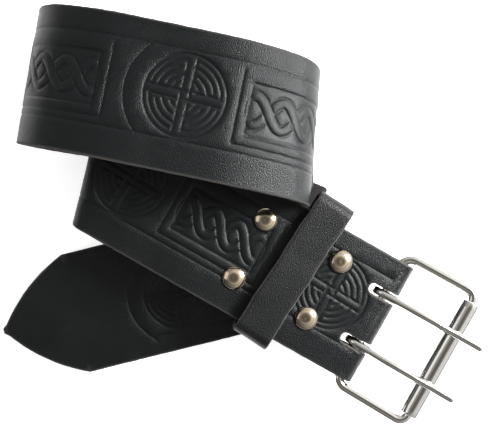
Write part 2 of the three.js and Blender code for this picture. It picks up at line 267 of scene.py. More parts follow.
edge_give_way = 6
give_way_start = 0.06
give_way_span = 0.6
give_way_line = 8
turn_up = bends[3]


def drawn_in(flat):
    """The flat points, with one edge drawn in where the strap turns up beside the buckle end."""
    flat = np.array(flat, float)
    slope = math.tan(math.radians(turn_up["lean"]))
    length = turn_up["arc"] / math.cos(math.radians(turn_up["lean"]))
    share = (flat[:, 0] - flat[:, 1] * slope - turn_up["at"]) / length
    along = np.clip((share - give_way_start) / give_way_span, 0, 1)
    reach = np.clip((flat[:, 1] - give_way_line) / (half_width - give_way_line), 0, 1)
    move = edge_give_way * np.sin(math.pi * along) ** 2 * reach
    flat[:, 0] -= move * slope
    flat[:, 1] -= move
    return flat


ends = folded([[0, 0, 0], [strap_length, 0, 0]])
print("flap end at", ends[0].round(1), "and tip at", ends[1].round(1))

# %% [markdown]
# ## The pressed pattern
# The pattern is a traditional one that is pressed along the whole strip by a roller, so it repeats:
# a round knot, then a framed two-strand braid. It is drawn here as lines in a plane, x to the
# right and y up as the visible passes show it, and the lines become narrow grooves in the mesh.
# Drawing the real relief, rather than a bump map alone, gives true highlights in the grooves.

# %% One repeat of the pattern
repeat = 99
first_knot = 22
knot_count = 9
knot_radius = 16.3
ring_radius = 20.2
arc_radius = 23.8
border = 17.6
panel_gap = 20.8
panel_length = 47.6
panel_low = -14.4
panel_high = 10.6
frame_strip = 4.0
strand_half = 2.05
braid_pitch = 11.6
braid_swing = 5.6
knot_lines = []


def arc_points(radius, start, stop, step=1.1, centre=(0, 0)):
    count = max(3, int(abs(math.radians(stop - start)) * radius / step))
    angles = np.radians(np.linspace(start, stop, count + 1))
    return np.column_stack([centre[0] + radius * np.cos(angles), centre[1] + radius * np.sin(angles)])


def straight(a, b, step=1.2):
    a, b = np.array(a, float), np.array(b, float)
    count = max(1, int(np.linalg.norm(b - a) / step))
    return a + (b - a) * np.linspace(0, 1, count + 1)[:, None]


def turned(points, degrees):
    c, s = math.cos(math.radians(degrees)), math.sin(math.radians(degrees))
    return points @ np.array([[c, s], [-s, c]])


knot_lines.append(arc_points(knot_radius, 0, 360))
arm_half = 1.7
arm_reach = 14.2
arm_overlap = 3.2
arm_start_gap = 1.4
arm_end_gap = 0.6
knot_twist = 2
knot_arcs = [
    {"radius": 13.9, "start_gap": 0, "end_gap": 1.5},
    {"radius": 11.3, "start_gap": 1.8, "end_gap": 0},
    {"radius": 8.6, "start_gap": 0, "end_gap": 1.8},
    {"radius": 5.9, "start_gap": 1.6, "end_gap": 0},
]
for quarter in range(4):
    shapes = [
        straight((arm_half, arm_half - arm_overlap), (arm_half, arm_reach)),
        straight((arm_half + arm_start_gap, arm_half), (arm_reach - arm_end_gap, arm_half)),
    ]
    for arc in knot_arcs:
        low = math.degrees(math.asin((arm_half + arc["start_gap"]) / arc["radius"]))
        high = 90 - math.degrees(math.asin((arm_half + arc["end_gap"]) / arc["radius"]))
        shapes.append(arc_points(arc["radius"], low, high))
    knot_lines += [turned(shape, 90 * quarter - knot_twist) for shape in shapes]
print("lines in the knot:", len(knot_lines))

# %% [markdown]
# The braid's strands cross over and under by turns. Each strand is a centre line. Its two edges are
# drawn at a fixed distance to either side, and an edge stops where its strand passes under.

# %% The braid between two knots
braid_reach = 1.5 * braid_pitch
braid_steps = 150
cap_gap = 1.9
cap_lean = 0.6
cap_bulge = 1.3
cap_rise = 1.18
cap_fall = 1.05
shortest_run = 4


def braid_strands():
    """Two centre lines that cross at each pitch and close in points at both ends."""
    x = np.linspace(-braid_reach, braid_reach, braid_steps)
    first = np.column_stack([x, braid_swing * np.sin(math.pi * x / braid_pitch)])
    second = first * (1, -1)
    return first, second


def offset_line(points, distance):
    step = np.gradient(points, axis=0)
    normal = np.column_stack([-step[:, 1], step[:, 0]])
    normal /= np.linalg.norm(normal, axis=1)[:, None]
    return points + normal * distance


def split_where(points, keep):
    """The runs of points whose keep is true."""
    runs, run = [], []
    for point, good in zip(points, keep):
        if good:
            run.append(point)
        elif run:
            runs.append(np.array(run))
            run = []
    if run:
        runs.append(np.array(run))
    return [r for r in runs if len(r) > shortest_run]


def nearest(points, targets):
    gaps = np.linalg.norm(points[:, None, :] - targets[None, :, :], axis=2)
    return gaps.min(axis=1)


strand_a, strand_b = braid_strands()
strand_lines = []
for strand, other, parity in ((strand_a, strand_b, 0), (strand_b, strand_a, 1)):
    for side in (-1, 1):
        edge = offset_line(strand, side * strand_half)
        crossing = np.rint(strand[:, 0] / braid_pitch).astype(int)
        under = (crossing + parity) % 2 == 0
        blocked = under & (nearest(edge, other) < strand_half + 0.5)
        strand_lines += split_where(edge, ~blocked)
cap_out = braid_reach + cap_gap
for side in (-1, 1):
    corner = np.array([side * cap_out, side * braid_swing * cap_rise])
    other_corner = np.array([side * (cap_out + cap_lean), -side * braid_swing * cap_fall])
    strand_lines.append(np.array([
        corner + (other_corner - corner) * t + np.array([side * cap_bulge * math.sin(math.pi * t), 0])
        for t in np.linspace(0, 1, 14)
    ]))
braid_paths = [strand_a, strand_b]
print("edge runs in the braid:", len(strand_lines))

# %% [markdown]
# The repeats are laid along the strip. The real pressing wanders a little across the width, so the
# centre line of the pattern drifts from one end of the belt to the other.

# %% Lay the repeats on the strip
panel_half = (panel_length - 2 * frame_strip) / 2
drift_start = -1.9
drift_change = 4.3
drift_first_repeat = 3
drift_repeats = 5
deep_line = 1.0
middle_line = 0.9
light_line = 0.8
side_arc = (132, 228)
border_lead = 3
border_end = 12
border_step = 1.6


def drift(s):
    """How far the pattern's middle line lies from the strap's, across the width."""
    past_knot = np.asarray(s, float) - buckle_start - first_knot
    share = np.clip((past_knot - drift_first_repeat * repeat) / (drift_repeats * repeat), 0, 1)
    return drift_start + drift_change * share


def laid(points, s_centre):
    """Flat s and v of pattern points about a centre at s_centre."""
    s = s_centre - points[:, 0]
    return np.column_stack([s, drift(s) - points[:, 1]])


knot_places = [buckle_start + first_knot + repeat * k for k in range(knot_count)]
panel_places = [s + repeat - panel_gap - panel_length / 2 for s in knot_places[:-1]]
grooves = []
for s in knot_places:
    grooves += [(laid(line, s), deep_line) for line in knot_lines]
    grooves.append((laid(arc_points(arc_radius, *side_arc), s), light_line))
outer = panel_length / 2
inner_low, inner_high = panel_low + frame_strip, panel_high
braid_level = (inner_low + inner_high) / 2
for s in panel_places:
    right_outer = straight((outer, panel_low), (outer, inner_high + frame_strip))
    left_outer = straight((-outer, panel_low), (-outer, inner_high + frame_strip))
    bottom_outer = straight((-outer, panel_low), (outer, panel_low))
    for line in (right_outer, left_outer, bottom_outer):
        grooves.append((laid(line, s), middle_line))
    corners = [
        (-panel_half, inner_low), (panel_half, inner_low),
        (panel_half, inner_high), (-panel_half, inner_high),
    ]
    for a, b in zip(corners, corners[1:] + corners[:1]):
        grooves.append((laid(straight(a, b), s), deep_line))
    grooves += [(laid(line + (0, braid_level), s), deep_line) for line in strand_lines]
border_start = knot_places[0] - arc_radius + border_lead
border_stop = knot_places[-1] + border_end
for side in (-1, 1):
    s = np.linspace(border_start, border_stop, int((border_stop - border_start) / border_step))
    grooves.append((np.column_stack([s, drift(s) - side * border]), light_line))
print("grooves:", len(grooves), "points:", sum(len(line) for line, _ in grooves))

# %% [markdown]
# ## Relief of the strap's outer face
# Every groove becomes rows of mesh points, close together across the groove and wider along it, so
# the mesh is fine only where the pattern needs it. The height at a point comes from its distance to
# the nearest groove, and from soft steps where a field is pressed down or a strip stands up.

# %% Heights of the outer face
groove_depth = 0.36
groove_half = 0.46
field_depth = 0.2
strip_height = 0.11
strand_height = 0.2
strand_roundness = 0.6
knot_depth_share = 0.6
groove_reach = 2.2
in_field = 0.3
swell = 0.12


def smooth(value, low, high):
    t = np.clip((value - low) / (high - low), 0, 1)
    return t * t * (3 - 2 * t)


groove_tree = kdtree.KDTree(sum(len(line) * 3 for line, _ in grooves))
groove_weight = []
for line, weight in grooves:
    fine = np.repeat(line, 3, axis=0)
    step = np.diff(line, axis=0)
    fine[1:-2:3] = line[:-1] + step / 3
    fine[2:-1:3] = line[:-1] + step * 2 / 3
    for p in fine:
        groove_tree.insert((p[0], p[1], 0), len(groove_weight))
        groove_weight.append(weight)
groove_tree.balance()
strand_points = np.vstack([
    laid(path + (0, braid_level), s) for s in panel_places for path in braid_paths
])
strand_tree = kdtree.KDTree(len(strand_points))
for i, p in enumerate(strand_points):
    strand_tree.insert((p[0], p[1], 0), i)
strand_tree.balance()


def relief(s, v):
    """Height over the plain face, and how smoothly pressed the leather is, for arrays of points."""
    height = np.zeros(len(s))
    pressed = np.zeros(len(s))
    for place in knot_places:
        near = np.nonzero(np.abs(s - place) < arc_radius + 8)[0]
        x, y = place - s[near], drift(s[near]) - v[near]
        r = np.hypot(x, y)
        inside = 1 - smooth(r, knot_radius - 0.5, knot_radius + 0.4)
        ring = smooth(r, knot_radius - 0.4, knot_radius + 0.7)
        ring *= 1 - smooth(r, ring_radius - 1.6, ring_radius + 1.2)
        height[near] += strip_height * ring - field_depth * inside * knot_depth_share
        pressed[near] = np.maximum(pressed[near], inside)
    for place in panel_places:
        near = np.nonzero(np.abs(s - place) < outer + 4)[0]
        x, y = place - s[near], drift(s[near]) - v[near]
        field = smooth(panel_half - np.abs(x), -0.4, 0.5)
        field *= smooth(y - inner_low, -0.4, 0.5)
        field *= smooth(inner_high - y, -0.4, 0.5)
        whole = smooth(outer - np.abs(x), -0.3, 0.6) * smooth(y - panel_low, -0.3, 0.6)
        whole *= smooth(inner_high + frame_strip - y, -1.5, 1.5)
        height[near] += strip_height * whole * (1 - field) - field_depth * field
        pressed[near] = np.maximum(pressed[near], field)
    for i in range(len(s)):
        _, found, gap = groove_tree.find((s[i], v[i], 0))
        if gap < groove_reach:
            height[i] -= groove_depth * groove_weight[found] * math.exp(-(gap / groove_half) ** 2)
        if pressed[i] > in_field:
            _, _, gap = strand_tree.find((s[i], v[i], 0))
            if gap < strand_half:
                height[i] += strand_height * (1 - (gap / strand_half) ** 2) ** strand_roundness
    height += swell * (np.sin(s * 0.11 + v * 0.05) * np.cos(v * 0.16 + 1) * 0.5 - 0.35)
    return height, pressed


# %% [markdown]
# ## Outline, slots and holes
# The cut edge of a belt is rounded and rubbed. Each outline is a closed loop with the leather on
# its left, and rings that step in and down from it give the rounded edge on both faces.

# %% Closed outlines of the strip


def tip_half_width(distance):
    if distance >= tip_length:
        return half_width
    chord = math.hypot(tip_length, half_width)
    radius = (chord * chord / 4 + tip_bulge * tip_bulge) / (2 * tip_bulge)
    reach = radius - tip_bulge
    centre_x = tip_length / 2 + half_width / chord * reach
    centre_y = half_width / 2 - tip_length / chord * reach
    offset = distance - centre_x
    return max(tip_blunt, centre_y + math.sqrt(radius * radius - offset * offset))


def rulings():
    """Start s and slope of straight lines across the strip that follow every crease."""
    rows = [(0.0, 0.0)]

    def spread(to_s, to_slope, step):
        from_s, from_slope = rows[-1]
        gap = to_s - from_s
        count = int(math.ceil(gap / step - 1e-6))
        for i in range(1, count + 1):
            t = i / count
            rows.append((from_s + gap * t, from_slope + (to_slope - from_slope) * t))

    for b in bends:
        slope = math.tan(math.radians(b["lean"]))
        spread(b["at"], slope, 3.0)
        turn_step = min(1.8, max(0.55, b["radius"] * math.radians(7)))
        spread(b["at"] + b["arc"] / math.cos(math.radians(b["lean"])), slope, turn_step)
    spread(strap_length - tip_length, 0, 3.0)
    return rows


rows = rulings()
print("rulings:", len(rows))


def ease_out(count):
    return [tip_length * (1 - math.sin(0.5 * math.pi * i / count)) for i in range(1, count + 1)]


def outline_loop():
    low = [(s - half_width * slope, -half_width) for s, slope in rows]
    high = [(s + half_width * slope, half_width) for s, slope in rows]
    tip = [(strap_length - d, tip_half_width(d)) for d in ease_out(14) if d > 1.2 or d == 0]
    across = [(0.0, v) for v in np.linspace(half_width, -half_width, 20)[1:-1]]
    loop = low + [(s, -v) for s, v in tip] + [(s, v) for s, v in tip[::-1]] + high[::-1] + across
    return np.array(loop)


def round_hole(s, v, radius, sides):
    angles = -2 * math.pi * np.arange(sides) / sides
    return np.column_stack([s + radius * np.cos(angles), v + radius * np.sin(angles)])


def s_at(x, low, high):
    """The flat s in a range at which the strap's middle has a given distance from the bar."""
    steps = np.linspace(low, high, 4000)
    points = folded(np.column_stack([steps, np.zeros(4000), np.zeros(4000)]))
    return float(steps[np.argmin(np.abs(points[:, 0] - bar_centre[0] - x))])


slot_width = 4.6
slot_reach = 8.6
prong_spacing = 24.6
rivet_rows = (25, 61.5)
rivet_spacing = 28.4
rivet_offset = 1
shank_hole = 2.3
shank_hole_sides = 14
first_hole = 178
hole_pitch = 20
hole_pairs = 5
prong_hole = 2.5
prong_hole_sides = 24
slot_from = s_at(-slot_reach, flap_run * 0.6, buckle_start - 14)
slot_to = buckle_start + slot_reach


def slot_loop(v):
    half = slot_width / 2
    right = arc_points(half, 90, -90, 0.8, (slot_to - half, v))
    left = arc_points(half, 270, 90, 0.8, (slot_from + half, v))
    bottom = straight((slot_to - half, v - half), (slot_from + half, v - half), 0.75)[1:-1]
    top = straight((slot_from + half, v + half), (slot_to - half, v + half), 0.75)[1:-1]
    return np.vstack([right, bottom, left, top])


holes = []


def punch(s, v, radius, sides):
    loop = round_hole(s, v, radius, sides)
    holes.append({"loop": loop, "kind": "hole", "at": (s, v), "radius": radius})


for v in (prong_spacing / 2, -prong_spacing / 2):
    holes.append({"loop": slot_loop(v), "kind": "slot", "v": v})
for x in rivet_rows:
    for side in (1, -1):
        v = -(rivet_offset + side * rivet_spacing / 2)
        for s in (buckle_start + x, s_at(-x, 0, flap_run + 10)):
            punch(s, v, shank_hole, shank_hole_sides)
for pair in range(hole_pairs):
    for v in (-prong_spacing / 2, prong_spacing / 2):
        punch(strap_length - first_hole - pair * hole_pitch, v, prong_hole, prong_hole_sides)
loops = [outline_loop()] + [hole["loop"] for hole in holes]
print("loops:", len(loops), "points:", sum(map(len, loops)))

# %% [markdown]
# ## Mesh of the strap
# The outer face is a triangulation of all those points in the plane. The flesh side needs few
# points, since it is plain suede. Rings of the same count join the two faces all round.

# %% Points of both faces
edge_round = 0.55
edge_inset = 0.2
edge_clearance = edge_round + 0.4
face_grid = 3.0
flesh_grid = 6.0
grid_clearance = 0.9


def inset(loop, distance):
    """A loop moved into the leather on its left."""
    ahead = np.roll(loop, -1, axis=0) - loop
    behind = loop - np.roll(loop, 1, axis=0)
    ahead /= np.linalg.norm(ahead, axis=1)[:, None]
    behind /= np.linalg.norm(behind, axis=1)[:, None]
    along = ahead + behind
    along /= np.maximum(np.linalg.norm(along, axis=1)[:, None], 1e-6)
    return loop + distance * np.column_stack([-along[:, 1], along[:, 0]])


def ruled_points(gap):
    """A jittered grid on the rulings, for the plain parts of a face."""
    random = np.random.default_rng(7)
    points = []
    for s, slope in rows[1:]:
        for v in np.arange(-half_width + 1.4, half_width - 1.2, gap):
            w = v + random.uniform(-0.3, 0.3) * gap
            points.append((s + w * slope, w))
    for d in np.arange(tip_length - 2, 2, -3.0):
        reach = tip_half_width(d) - 1.3
        for v in np.linspace(-reach, reach, max(2, int(2 * reach / gap))):
            points.append((strap_length - d, v))
    return np.array(points)


def in_leather(points, clearance):
    """Which points are on the strip and clear of its edges and holes."""
    s, v = points[:, 0], points[:, 1]
    good = (s > clearance) & (np.abs(v) < half_width - clearance)
    near_tip = np.nonzero(s > strap_length - tip_length - 1)[0]
    for i in near_tip:
        d = strap_length - s[i]
        good[i] &= d > 1.5 and abs(v[i]) < tip_half_width(max(d, 0)) - clearance * 1.3
    for hole in holes:
        if hole["kind"] == "hole":
            good &= np.hypot(s - hole["at"][0], v - hole["at"][1]) > hole["radius"] + clearance
        else:
            half = slot_width / 2
            near_s = np.clip(s, slot_from + half, slot_to - half)
            good &= np.hypot(s - near_s, v - hole["v"]) > half + clearance
    return good


def groove_rows():
    rows_across = []
    for line, _ in grooves:
        for distance in (0.0, -0.34, 0.34, -0.85, 0.85):
            rows_across.append(offset_line(line, distance))
    return np.vstack(rows_across)


def thinned(points, gap):
    """Drops points that lie closer together than gap."""
    cells = set()
    keep = []
    for i, (s, v) in enumerate(points):
        cell = (round(s / gap), round(v / gap))
        if cell not in cells:
            cells.add(cell)
            keep.append(i)
    return points[keep]


def clear_of(points, others, gap):
    tree = kdtree.KDTree(len(others))
    for i, p in enumerate(others):
        tree.insert((p[0], p[1], 0), i)
    tree.balance()
    keep = [i for i, p in enumerate(points) if tree.find((p[0], p[1], 0))[2] > gap]
    return points[keep]


pattern_points = groove_rows()
strand_middles = np.vstack([
    laid(path[::5] + (0, braid_level), s) for s in panel_places for path in braid_paths
])
pattern_points = thinned(np.vstack([pattern_points, strand_middles]), 0.3)
rim_rows = thinned(np.vstack([inset(loop, edge_round + 0.6) for loop in loops]), 0.7)
grid_points = clear_of(ruled_points(face_grid), np.vstack([pattern_points, rim_rows]), grid_clearance)
face_points = np.vstack([pattern_points, grid_points, clear_of(rim_rows, pattern_points, 0.5)])
face_points = face_points[in_leather(face_points, edge_clearance)]
back_points = clear_of(ruled_points(flesh_grid), rim_rows, grid_clearance)
back_points = np.vstack([back_points, rim_rows])
back_points = back_points[in_leather(back_points, edge_clearance)]
print("outer face points:", len(face_points), "flesh side points:", len(back_points))

# %% Triangulate both faces and join them
rim_wear_and_highlight = 0.35
cut_roughness = 0.07


def triangles(rims, inner):
    """Triangles over rims and inner points. Rim points come first, in order, the outline's first."""
    points = np.vstack(rims + [inner])
    edges, owner, start = [], np.zeros(len(points), int), 0
    for number, rim in enumerate(rims):
        edges += [(start + i, start + (i + 1) % len(rim)) for i in range(len(rim))]
        owner[start:start + len(rim)] = number
        start += len(rim)
    inside_with_holes = 4
    found = delaunay_2d_cdt([Vector(p) for p in points], edges, [], inside_with_holes, 1e-5)
    _, _, faces, origin, _, _ = found
    found_faces = [tuple(origin[i][0] for i in face) for face in faces]
    lids = [len(set(owner[list(face)])) == 1 and owner[face[0]] > 0 for face in found_faces]
    print("lids taken off the holes:", sum(lids))
    return points, [face for face, lid in zip(found_faces, lids) if not lid]


rings = [
    (edge_round, half_thickness),
    (edge_inset, half_thickness - 0.16),
    (0.0, half_thickness - 0.55),
    (0.0, 0.4 - half_thickness),
    (edge_inset, 0.12 - half_thickness),
    (edge_round, -half_thickness),
]
top_rims = [inset(loop, edge_round) for loop in loops]
top_flat, top_faces = triangles(top_rims, face_points)
low_flat, low_faces = triangles(top_rims, back_points)
height, pressed = relief(top_flat[:, 0], top_flat[:, 1])
rim_count = sum(map(len, loops))
height[:rim_count] = 0
flat_points = [np.column_stack([top_flat, half_thickness + height])]
edge_value = [np.zeros(len(top_flat))]
# The rim of the outer face takes part of the lighter edge colour: partly rubbed wear, partly a painted
# highlight along the edge.
edge_value[0][:rim_count] = rim_wear_and_highlight
pressed_value = [pressed]
flesh_value = [np.zeros(len(top_flat))]
base = len(top_flat)
flat_points.append(np.column_stack([low_flat, np.full(len(low_flat), -half_thickness)]))
edge_value.append(np.zeros(len(low_flat)))
pressed_value.append(np.zeros(len(low_flat)))
flesh_value.append(np.ones(len(low_flat)))
faces = list(top_faces) + [tuple(base + i for i in face[::-1]) for face in low_faces]
random = np.random.default_rng(3)
start = 0
offset = base + len(low_flat)
for loop in loops:
    count = len(loop)
    ring_start = [start]
    for inward, level in rings[1:-1]:
        ring_start.append(offset)
        rough = random.uniform(-cut_roughness, cut_roughness, (count, 1))
        ring = inset(loop, inward) + rough * (inset(loop, 1.0) - loop)
        flat_points.append(np.column_stack([ring, np.full(count, level)]))
        edge_value.append(np.ones(count))
        pressed_value.append(np.zeros(count))
        flesh_value.append(np.zeros(count))
        offset += count
    ring_start.append(base + start)
    for upper, lower in zip(ring_start, ring_start[1:]):
        for i in range(count):
            j = (i + 1) % count
            faces.append((upper + i, lower + i, lower + j, upper + j))
    start += count
flat_points = np.vstack(flat_points)
print("strap vertices:", len(flat_points), "faces:", len(faces))

# %% [markdown]
# The finished mesh keeps what its shader needs: a UV map that is the flat strip in metres, and
# four values a point, for pressed fields, cut edges, the flesh side and the creased buckle end.

# %% Build the strap
crease_spread = 13


def set_values(mesh, name, values):
    layer = mesh.attributes.new(name, "FLOAT", "POINT")
    layer.data.foreach_set("value", np.asarray(values, np.float32))


def mesh_object(name, points, faces):
    """An object at the origin from points in millimetres in the part's frame."""
    mesh = bpy.data.meshes.new(name)
    mesh.from_pydata((np.asarray(points) * MM).tolist(), [], [list(map(int, f)) for f in faces])
    mesh.validate()
    mesh.shade_smooth()
    piece = bpy.data.objects.new(name, mesh)
    bpy.context.scene.collection.objects.link(piece)
    return piece


def add_uv(mesh, flat):
    layer = mesh.uv_layers.new(name="flat")
    corner = np.zeros(len(mesh.loops), np.int32)
    mesh.loops.foreach_get("vertex_index", corner)
    layer.data.foreach_set("uv", (flat[corner] * MM).astype(np.float32).ravel())


placed_points = folded(drawn_in(flat_points))
placed_points[:, 2] = np.maximum(placed_points[:, 2], 0)
strap = mesh_object("belt_strap", placed_points, faces)
add_uv(strap.data, flat_points[:, :2])
eye_middle = (bends[1]["at"] + buckle_start) / 2
crease = np.exp(-((flat_points[:, 0] - eye_middle) / crease_spread) ** 2)
for name, values in (
    ("edge", np.concatenate(edge_value)),
    ("pressed", np.concatenate(pressed_value)),
    ("flesh", np.concatenate(flesh_value)),
    ("crease", crease),
):
    set_values(strap.data, name, values)
strap_box = np.array(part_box("strap")) / MM
print("strap low", placed_points.min(0).round(2), "high", placed_points.max(0).round(2))
print("solid low", strap_box[0].round(2), "high", strap_box[1].round(2))

# %% [markdown]
# ## Keeper
# The keeper is a band of the same leather, closed into a loop. Its section is a flat strip with
# rubbed edges, carried round a rounded rectangle. The corners of real leather are not sharp, and
# the band bows a little between them.

# %% Keeper loop
keeper_width = 16.4
keeper_thickness = 2.2
keeper_slack = 13.6
keeper_headroom = 4.6
keeper_distance = 41
keeper_offset = 2.2
keeper_skew = -3.6
keeper_corner = 5
keeper_bow = 0.35
keeper_swell = 0.06
keeper_roughness = 0.05


def keeper_path():
    """Points, outward directions and lengths round the middle of the band, in Y and Z."""
    flap_low = strap_top - 2 * strap_thickness - layer_gap
    low = flap_low - layer_gap - keeper_thickness / 2
    high = strap_top + keeper_headroom + keeper_thickness / 2
    half = (strap_width + keeper_slack) / 2 - keeper_thickness / 2
    radius = keeper_corner - keeper_thickness / 2
    corners = [(half, high, 0), (-half, high, 90), (-half, low, 180), (half, low, 270)]
    points, normals = [], []
    for y, z, turn in corners:
        cy = y - math.copysign(radius, y)
        cz = z - radius if z == high else z + radius
        for a in np.radians(np.linspace(turn, turn + 90, 13)):
            points.append((cy + radius * math.cos(a), cz + radius * math.sin(a)))
            normals.append((math.cos(a), math.sin(a)))
    full_points, full_normals = [], []
    for i in range(len(points)):
        a, b = np.array(points[i]), np.array(points[(i + 1) % len(points)])
        na, nb = np.array(normals[i]), np.array(normals[(i + 1) % len(points)])
        count = max(1, int(np.linalg.norm(b - a) / 1.6))
        for k in range(count):
            t = k / count
            n = na * (1 - t) + nb * t
            full_points.append(a + (b - a) * t)
            full_normals.append(n / np.linalg.norm(n))
    return np.array(full_points), np.array(full_normals)


def keeper_section():
    """Across and outward offsets round the band's section, with its flesh and edge marks."""
    w, t = keeper_width / 2, keeper_thickness / 2
    top = [(x, t, 0, 0) for x in np.linspace(-w + 0.5, w - 0.5, 12)]
    right = [
        (w - 0.16, t - 0.14, 1, 0), (w, t - 0.45, 1, 0),
        (w, 0.4 - t, 1, 0), (w - 0.16, 0.1 - t, 1, 0),
    ]
    low = [(x, -t, 0, 1) for x in np.linspace(w - 0.5, -w + 0.5, 8)]
    left = [(-x, h, e, f) for x, h, e, f in right[::-1]]
    return np.array(top + right + low + left)


path, outward = keeper_path()
section = keeper_section()
length_along = np.concatenate([[0], np.cumsum(np.linalg.norm(np.diff(path, axis=0), axis=1))])
random = np.random.default_rng(11)
skew = math.radians(keeper_skew)
keeper_points, keeper_flat, keeper_marks = [], [], []
for (y, z), n, run in zip(path, outward, length_along):
    bow = -keeper_bow * math.cos(math.pi * y / (strap_width + keeper_slack)) * (1 if n[1] > 0.9 else 0)
    wander = 0.18 * math.sin(run * 0.21) + 0.1 * math.sin(run * 0.53 + 1)
    for x, h, edge, flesh in section:
        rough = random.uniform(-keeper_roughness, keeper_roughness) if edge else 0
        swell_here = keeper_swell * math.sin(run * 0.33 + x * 0.4)
        out = h + bow + (swell_here if h > 0 else 0)
        along = x + wander + rough
        py, pz = y + n[0] * out, z + n[1] * out
        keeper_points.append((
            bar_centre[0] - keeper_distance + along * math.cos(skew) - py * math.sin(skew),
            bar_centre[1] + keeper_offset + along * math.sin(skew) + py * math.cos(skew),
            pz,
        ))
        keeper_flat.append((run, x))
        keeper_marks.append((edge, flesh))
count, sides = len(path), len(section)
keeper_faces = []
for i in range(count):
    j = (i + 1) % count
    for k in range(sides):
        m = (k + 1) % sides
        keeper_faces.append((i * sides + k, i * sides + m, j * sides + m, j * sides + k))
keeper = mesh_object("belt_keeper", keeper_points, keeper_faces)
add_uv(keeper.data, np.array(keeper_flat))
marks = np.array(keeper_marks)
set_values(keeper.data, "edge", marks[:, 0])
set_values(keeper.data, "flesh", marks[:, 1])
set_values(keeper.data, "pressed", np.zeros(len(marks)))
set_values(keeper.data, "crease", np.zeros(len(marks)))
print("keeper vertices:", len(marks))

# %% [markdown]
# ## Shader maths
# A socket wrapped in a small class lets the materials below read like sums. Every operator adds a
# Math node, and one method makes any other node from its type, settings and inputs.

# %% Values and nodes for materials


class Value:
    def __init__(self, graph, socket):
        self.graph = graph
        self.socket = socket

    def math(self, operation, *others):
        inputs = dict(enumerate((self,) + others))
        return self.graph.node("ShaderNodeMath", {"operation": operation}, inputs, "Value")

    def __add__(self, other):
        return self.math("ADD", other)

    def __mul__(self, other):
        return self.math("MULTIPLY", other)

    def __sub__(self, other):
        return self.math("SUBTRACT", other)

    def __rsub__(self, other):
        return (self * -1) + other

    def __pow__(self, other):
        return self.math("POWER", other)

    __radd__ = __add__
    __rmul__ = __mul__

    def clamp(self):
        return self.math("MINIMUM", 1).math("MAXIMUM", 0)


class Graph:
    """The node tree of a material, or of the world around the belt."""

    def __init__(self, owner):
        self.owner = owner
        owner.use_nodes = True
        self.tree = owner.node_tree
        self.tree.nodes.clear()

    def node(self, kind, settings=None, inputs=None, output=0):
        made = self.tree.nodes.new(kind)
        for key, value in (settings or {}).items():
            if key == "stops":
                ramp = made.color_ramp
                while len(ramp.elements) < len(value):
                    ramp.elements.new(0.5)
                for element, (place, shade) in zip(ramp.elements, value):
                    element.position = place
                    element.color = shade
            else:
                setattr(made, key, value)
        for key, value in (inputs or {}).items():
            socket = made.inputs[key]
            if isinstance(value, Value):
                self.tree.links.new(value.socket, socket)
            else:
                socket.default_value = value
        return Value(self, made.outputs[output])

    def attribute(self, name):
        return self.node("ShaderNodeAttribute", {"attribute_name": name}, None, "Fac")

    def mix(self, factor, a, b):
        settings = {"data_type": "RGBA"}
        return self.node("ShaderNodeMix", settings, {0: factor, 6: a, 7: b}, 2)

    def noise(self, vector, scale, detail=3.0, rough=0.55):
        inputs = {"Vector": vector, "Scale": scale, "Detail": detail, "Roughness": rough}
        return self.node("ShaderNodeTexNoise", {"noise_dimensions": "3D"}, inputs, "Fac")

    def finish(self, **inputs):
        named = {key.replace("_", " "): value for key, value in inputs.items()}
        shader = self.node("ShaderNodeBsdfPrincipled", None, named, 0)
        out = self.tree.nodes.new("ShaderNodeOutputMaterial")
        self.tree.links.new(shader.socket, out.inputs["Surface"])
        return self.owner


def colour(r, g, b):
    return (r, g, b, 1.0)


# %% [markdown]
# ## Leather
# Dyed black leather is almost black in itself. What the eye sees is gloss, broken by a pebbled
# grain about half a millimetre across. The grain is flattened where the pattern is pressed, it is worn
# smooth over the buckle's bar, and the cut edges and the back are raw fibres. The cut edges are also
# painted lighter, partly as the colour of raw fibres and partly as a painted highlight along every edge.

# %% Leather material
pebbles_per_metre = 1900.0
fine_grain_scale = 3200.0
patch_scale = 42.0
wrinkle_scale = 900.0
fibre_scale = 1600.0
leather_specular = 0.27


